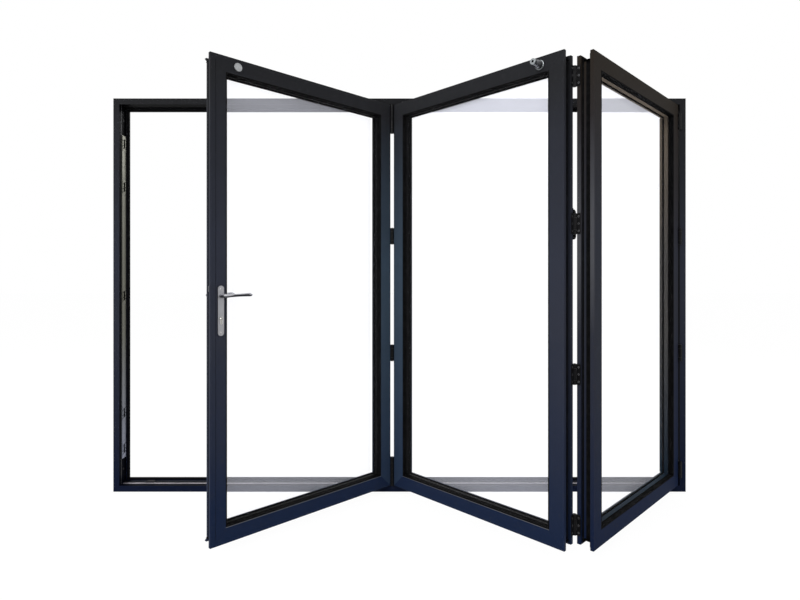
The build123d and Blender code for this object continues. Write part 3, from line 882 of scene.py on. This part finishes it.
# %% Keep plates, ribs and screws
strip_front = -1.488
strip_middle = -0.0015
keep_levels = (0.219, 0.412, 1.044, 1.630, 1.862)
plain_levels = (0.30, 0.56, 0.72, 0.88, 1.20, 1.36, 1.50, 1.74)
plate_edge, slot_edge = 0.0150, 0.0078
plate_end, slot_end = 0.038, 0.024
plate_depth = (-0.0002, 0.0010)
rib_thickness, rib_climb = 0.0028, 0.0130
strip_screw = 0.0038
highest_screw = 1.900
jamb_face = Matrix(((0, 0, 1, strip_front), (1, 0, 0, strip_middle), (0, 1, 0, 0), (0, 0, 0, 1)))

plates = bmesh.new()
ribs = bmesh.new()
strip_screws = bmesh.new()
for level in keep_levels:
    for across in ((-plate_edge, -slot_edge), (slot_edge, plate_edge)):
        slab(plates, across, (level - plate_end, level + plate_end), plate_depth, jamb_face)
    for low, high in ((-plate_end, -slot_end), (slot_end, plate_end)):
        levels = (level + low, level + high)
        slab(plates, (-slot_edge, slot_edge), levels, plate_depth, jamb_face)
    for rise in (-0.030, -0.014, 0.014):
        foot = level + rise
        rib = [(-plate_edge, foot), (-plate_edge, foot + rib_thickness)]
        rib += [(plate_edge, foot + rib_climb + rib_thickness), (plate_edge, foot + rib_climb)]
        bar(ribs, rib, 0.0006, 0.0014, jamb_face)
    for rise in (-0.045, 0.045):
        if level + rise < highest_screw:
            screw(strip_screws, jamb_face @ at(0.0, level + rise, 0.0002), strip_screw)
for level in plain_levels:
    screw(strip_screws, jamb_face @ at(0.0, level, 0.0002), strip_screw)
piece("keep_plates", plates, "keep_metal", bevel=0.0003)
piece("keep_ribs", ribs, "seal_rubber")
piece("keep_strip_screws", strip_screws, "screw_steel")
print("keeps at", keep_levels)

# %% [markdown]
# ## The lever's plate and the key slot
#
# A raised collar guides the lever's neck, and two screws, one at each end, clamp the plates on both
# sides of the leaf together. Below the lever is the key cylinder. Its plug turns in the body, so a
# dark ring shows round it, with the key slot across. These are lathe parts but for the slot.

# %% Collars, plate screws and plugs
pivot = (0.043, 1.029)
key = (0.043, 0.935)
plate_levels = (0.8785, 1.0565)
collar = [(0.0083, -0.0002), (0.0118, -0.0002), (0.0118, 0.0010), (0.0108, 0.0018)]
collar += [(0.0083, 0.0018), (0.0083, -0.0002)]
plug = [(0.0, 0.0008), (0.0052, 0.0008), (0.0058, 0.0004), (0.0058, -0.0002), (0.0, -0.0002)]
key_ring = [(0.0059, 0.0), (0.0070, 0.0), (0.0070, 0.0003), (0.0059, 0.0003), (0.0059, 0.0)]

collars = bmesh.new()
plate_screws = bmesh.new()
plugs = bmesh.new()
slots = bmesh.new()
for back, out in ((-0.0080, -1), (leaf_depth + 0.0080, 1)):
    way = facing((0, out, 0))
    turned(collars, collar, leaf[1] @ at(pivot[0], back, pivot[1]) @ way, 32)
    for level in plate_levels:
        spot = at(pivot[0], back + out * 0.0003, level)
        screw(plate_screws, leaf[1] @ spot @ way, small_screw)
    place = leaf[1] @ at(key[0], back + out * 0.0030, key[1])
    turned(plugs, plug, place @ way)
    # The key slot is a black slab on the plug: painted shade in the cut.
    cut = (out * 0.0007, out * 0.0010)
    slab(slots, (-0.0007, 0.0007), cut, (-0.0042, 0.0042), place)
    slab(slots, (-0.0017, 0.0007), cut, (-0.0006, 0.0008), place)
    turned(slots, key_ring, place @ way)
    slab(slots, (-0.0006, 0.0006), (out * 0.0001, out * 0.0004), (-0.0220, -0.0085), place)
piece("lever_collars", collars, "satin_steel")
piece("plate_screws", plate_screws, "cylinder_nickel")
piece("key_plugs", plugs, "cylinder_nickel")
piece("key_slots", slots, "seal_rubber")
print("key slot at height", round(key[1] + leaf_bottom, 3))

# %% [markdown]
# ## The magnet catch
#
# A steel disc on the first leaf and a magnet on the second hold the two leaves together when they
# are folded flat. The magnet sits in a turned boss with a socket in its nose, and its base has a
# raised rim. A few lathe rings make both read as turned metal and not as plain cylinders. The
# boss's rings take a lighter copy of its metal, a painted highlight, and its body a darker copy,
# painted shade.

# %% Rings and the socket of the magnet catch
catch_up = leaf_height - 0.035
disc_ring = [(0.0128, -0.0002), (0.0162, -0.0002), (0.0158, 0.0007), (0.0132, 0.0007)]
disc_ring += [(0.0128, -0.0002)]
disc_button = [(0.0, -0.0002), (0.0046, -0.0002), (0.0042, 0.0005), (0.0, 0.0005)]
nose = [(0.0052, 0.0530), (0.0052, 0.0580), (0.0120, 0.0580), (0.0128, 0.0570), (0.0128, 0.0490)]
nose += [(0.0085, 0.0478), (0.0085, 0.0415), (0.0052, 0.0415), (0.0052, 0.0530)]
base_rim = [(0.0168, 0.0002), (0.0205, 0.0002), (0.0200, 0.0050), (0.0172, 0.0056)]
base_rim += [(0.0168, 0.0002)]
nose_hole = [(0.0, 0.0500), (0.0053, 0.0500), (0.0053, 0.0540), (0.0, 0.0540)]

place = leaf[1] @ at(0.120, -0.0060, catch_up) @ facing((0, -1, 0))
disc_rings = bmesh.new()
turned(disc_rings, disc_ring, place, 36)
turned(disc_rings, disc_button, place, 24)
piece("magnet_disc_rings", disc_rings, "magnet_chrome")

# The boss's rings take a lighter copy of its metal: a painted highlight.
place = leaf[2] @ at(leaf_width - 0.110, 0.0, catch_up) @ facing((0, -1, 0))
boss_rings = bmesh.new()
turned(boss_rings, nose, place, 32)
turned(boss_rings, base_rim, place, 36)
piece("magnet_boss_rings", boss_rings, "boss_light", bevel=0.0004)
socket = bmesh.new()
turned(socket, nose_hole, place)
piece("magnet_boss_socket", socket, "seal_rubber")
print("magnet catch done")

# %% [markdown]
# ## Small parts of the frame
#
# The frame screws in the jambs hide under flat black caps. A bright metal strip along the front
# lip of the sill track is a painted highlight, and a dull one along its rear lip a fainter painted
# highlight. Both tracks carry a brush on each side of the slot. A thin groove line runs down each
# jamb in front of the keeps, and a low bar at the foot of the sill's upstand leads the rain back
# out. Most of these are only a millimetre or two, yet they are the lines that the eye follows along
# the frame. They could be painted on, but a thin slab also throws the small shadow that makes the
# line.

# %% Caps, track edges and lines
jamb_inside = 1.493
track_half = 1.490
brush_half = 1.488
track_near, track_far = -0.0105, 0.0135
fixing_cap = [(0.0, -0.0003), (0.0068, -0.0003), (0.0064, 0.0008), (0.0048, 0.0013), (0.0, 0.0014)]
row_place = Matrix.Identity(4)

caps = bmesh.new()
for side, level in ((-1, 0.108), (-1, 1.988), (1, 0.248), (1, 1.848)):
    turned(caps, fixing_cap, at(side * jamb_inside, 0.0, level) @ facing((-side, 0, 0)), 24)
piece("fixing_caps", caps, "black_nylon")

# A bright metal strip along the track's front lip: a painted highlight.
edges = bmesh.new()
front_lip_highlight = (track_near - 0.0012, track_near + 0.0012)
slab(edges, (-track_half, track_half), front_lip_highlight, (0.0320, 0.0354), row_place)
piece("sill_track_edge", edges, "bright_edge", bevel=0.0003)

upstand_and_lip_bars = bmesh.new()
rear_lip_highlight = (track_far - 0.0010, track_far + 0.0004)
slab(upstand_and_lip_bars, (-1.470, 1.470), (0.0275, 0.0304), (0.0319, 0.0340), row_place)
# The second slab runs along the track's rear lip: a fainter painted highlight.
slab(upstand_and_lip_bars, (-track_half, track_half), rear_lip_highlight, (0.0320, 0.0346), row_place)
piece("sill_rain_bar", upstand_and_lip_bars, "dull_edge", bevel=0.0003)

brushes = bmesh.new()
for levels in ((0.0320, 0.0338), (2.0622, 2.0640)):
    for depths in ((-0.0049, -0.0021), (0.0051, 0.0079)):
        slab(brushes, (-brush_half, brush_half), depths, levels, row_place)
piece("track_brushes", brushes, "seal_rubber")

lines = bmesh.new()
for side in (-1, 1):
    across = sorted((side * jamb_inside, side * (jamb_inside - 0.0008)))
    slab(lines, across, (-0.0236, -0.0218), (0.034, 2.062), row_place)
piece("jamb_lines", lines, "screw_steel")
print("frame details done")

# %% [markdown]
# ## The floor, the light and the camera
#
# The door is photographed against plain white. The floor keeps its shadow, and a share of plain
# white is mixed into it for what the camera and the reflections see, so the white comes from the
# colour and not from more light. Three large soft lamps, one of them behind the door, and an even
# sky light the coat at the level at which a colour renders as it is written. The camera stands
# where the vanishing lines of the photograph meet, square to the frame, and a small shift sets the
# horizon a little high.

# %% Floor and sky
floor_white = (0.90, 0.90, 0.90)
floor_glow = 1.03
glow_share = 0.93
sky_strength = 0.55
pure_white = (1.0, 1.0, 1.0)


def seen_directly(graph):
    """1 for rays from the camera, off glossy surfaces and through clear ones."""
    rays = ("Is Camera Ray", "Is Glossy Ray", "Is Transmission Ray")
    camera_ray, glossy_ray, clear_ray = (
        graph.node("ShaderNodeLightPath", output=ray) for ray in rays)
    return (camera_ray + glossy_ray + clear_ray).clamped()


def shown_as(graph, end, share, plain, white):
    """Feeds the tree's end with the plain shader, turned white by a share."""
    blend = graph.node("ShaderNodeMixShader", None, {0: share, 1: plain, 2: white})
    graph.feed(graph.tree.nodes[end].inputs["Surface"], blend)


floor_shape = bmesh.new()
bmesh.ops.create_grid(floor_shape, x_segments=8, y_segments=8, size=40.0)
floor_mesh = bpy.data.meshes.new("floor")
floor_shape.to_mesh(floor_mesh)
floor_shape.free()
floor = bpy.data.objects.new("floor", floor_mesh)
floor.location = (0.0, 0.0, -0.0005)
bpy.context.scene.collection.objects.link(floor)
matt = Finish("plain_white_floor", Base_Color=floor_white, Roughness=0.9)
glow = matt.node("ShaderNodeEmission", None, {"Strength": floor_glow})
plain = matt.output_of("Principled BSDF")
shown_as(matt, "Material Output", seen_directly(matt) * glow_share, plain, glow)
floor_mesh.materials.append(matt.material)

studio = bpy.data.worlds.new("studio")
bpy.context.scene.world = studio
studio.use_nodes = True
sky = Graph(studio.node_tree)
background = sky.tree.nodes["Background"]
sky.feed(background.inputs["Color"], pure_white)
sky.feed(background.inputs["Strength"], sky_strength)
white = sky.node("ShaderNodeBackground", None, {"Color": pure_white})
shown_as(sky, "World Output", seen_directly(sky), sky.output_of("Background"), white)
print("floor and sky ready")

# %% Lamps
def lamp(name, place, target, size, power):
    light = bpy.data.lights.new(name, "AREA")
    light.size = size
    light.energy = power
    holder = bpy.data.objects.new(name, light)
    holder.location = place
    way = Vector(target) - Vector(place)
    holder.rotation_euler = way.to_track_quat("-Z", "Y").to_euler()
    bpy.context.scene.collection.objects.link(holder)


lamp("key", (-5.0, -6.5, 4.4), (0.0, -0.3, 1.0), 4.0, 500.0)
lamp("fill", (5.0, -6.5, 3.0), (0.0, -0.3, 1.0), 4.0, 170.0)
lamp("back", (0.5, 4.5, 4.0), (0.0, 0.0, 1.2), 3.0, 120.0)
print("lamps", len(bpy.data.lights))

# %% Camera
camera = bpy.data.cameras.new("camera")
camera.lens = 24.304
camera.sensor_width = 36.0
camera.shift_x = -0.0033
camera.shift_y = -0.0266
holder = bpy.data.objects.new("camera", camera)
holder.location = (0.0166, -2.9201, 1.1352)
holder.rotation_euler = (math.radians(90.0), 0.0, 0.0)
bpy.context.scene.collection.objects.link(holder)
bpy.context.scene.camera = holder
bpy.context.scene.view_settings.view_transform = "Standard"
print("camera at", tuple(holder.location))
